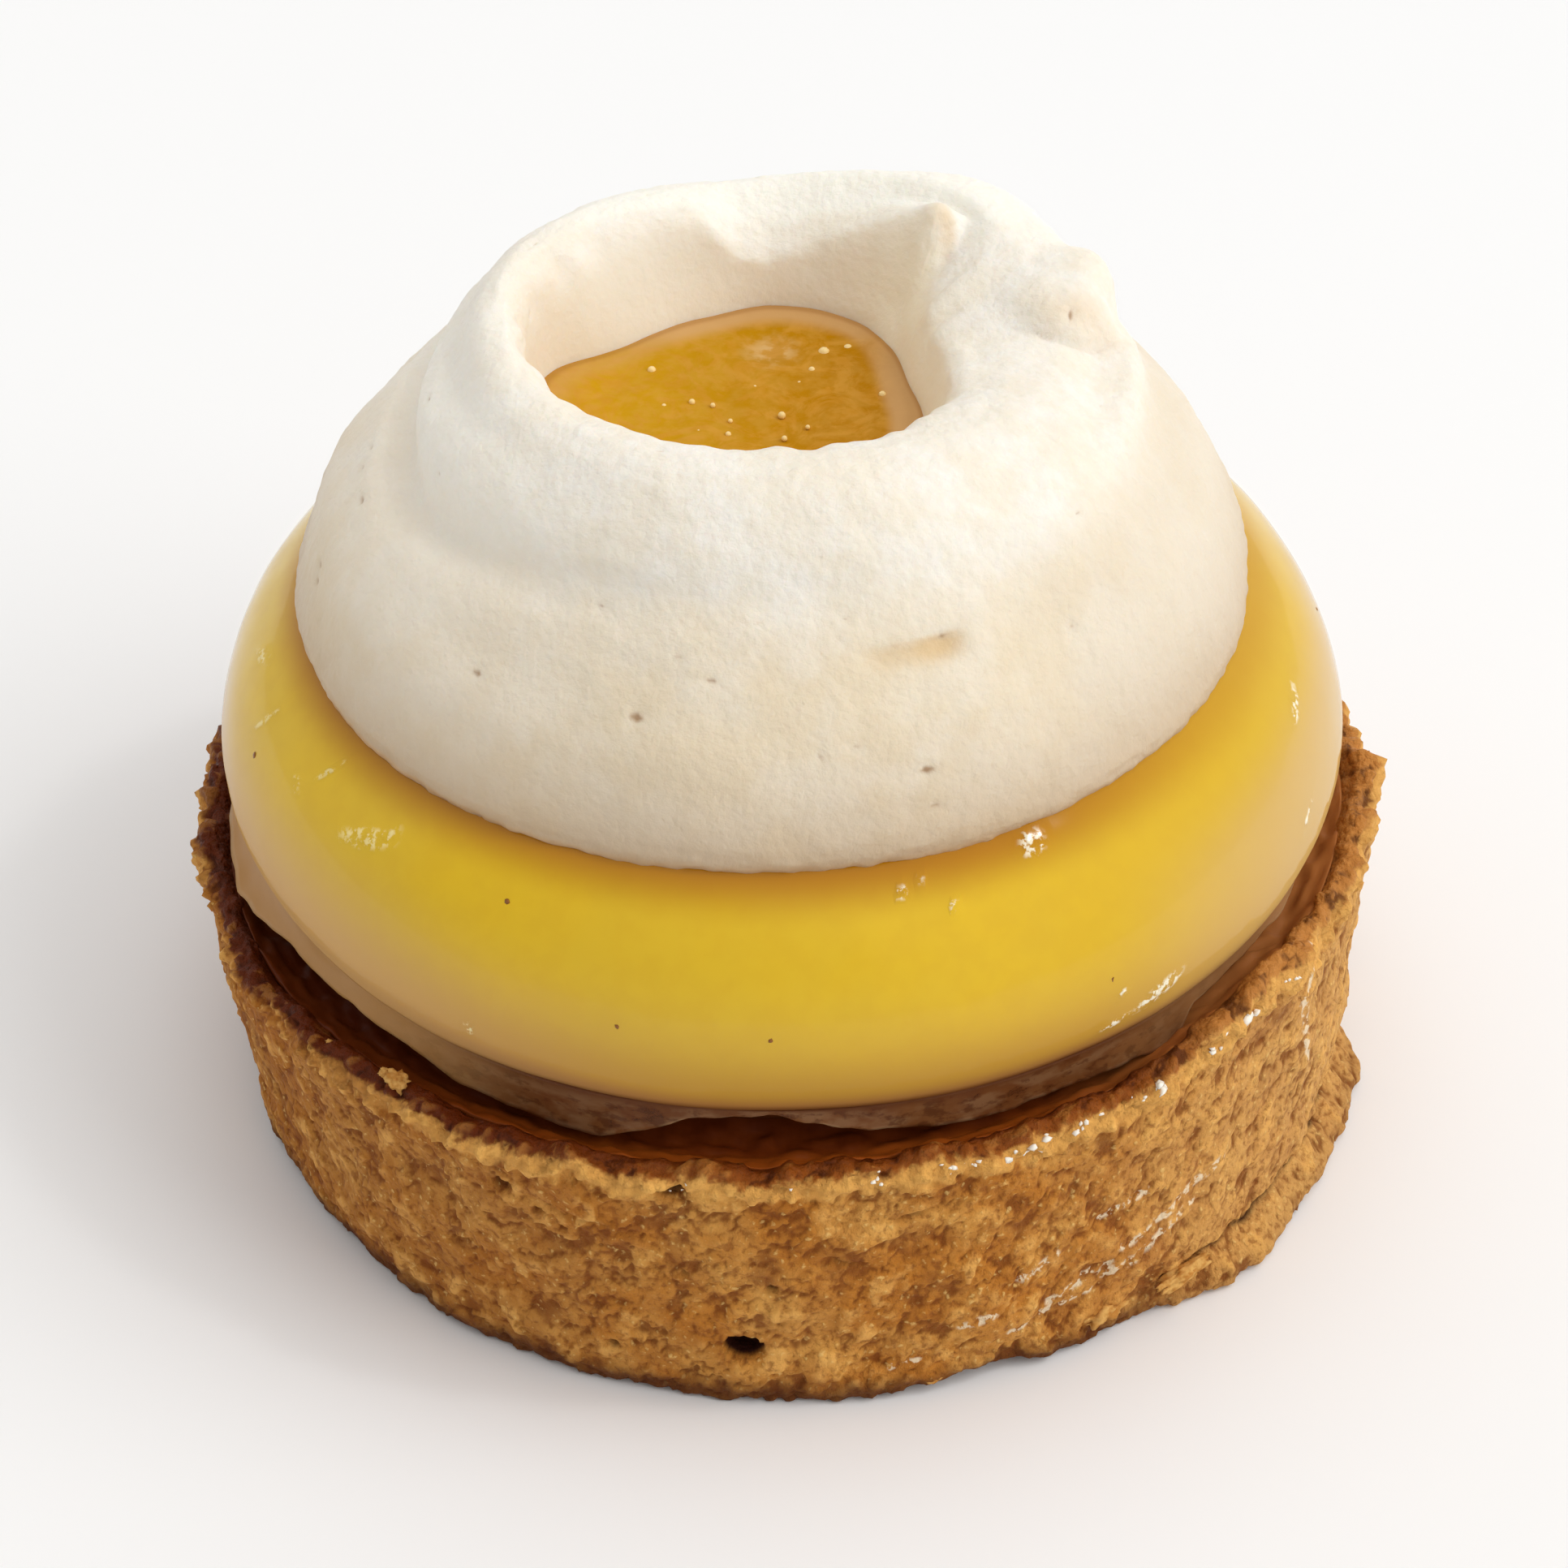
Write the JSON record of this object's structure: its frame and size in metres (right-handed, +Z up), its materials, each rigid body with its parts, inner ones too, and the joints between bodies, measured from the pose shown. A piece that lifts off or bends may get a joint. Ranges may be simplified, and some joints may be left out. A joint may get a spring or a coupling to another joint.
{
  "type": "lemon tart",
  "caption": "Round shortcrust tart case filled with a glazed lemon dome, topped with a piped meringue nest that holds lemon gel.",
  "frame": {"origin": "middle of the underside, on the surface that the tart stands on, at the centre of its bounding box", "axes": "+Z up, the shortest extent; -Y towards the side that the picture shows, +X to the right of it"},
  "size_m": [0.0807, 0.0794, 0.0581],
  "materials": {
    "baked_crust": "golden brown, dry, crumbly and craggy baked shortcrust",
    "lemon_glaze": "wet, glossy, smooth yellow lemon glaze with fine dark specks",
    "meringue": "soft matte ivory meringue with pinholes",
    "lemon_gel": "wet, glossy, clear amber lemon gel with small bubbles"
  },
  "bodies": {
    "root": {"crust": "baked_crust", "lemon_filling": "lemon_glaze", "meringue": "meringue", "lemon_gel": "lemon_gel"}
  },
  "joints": []
}
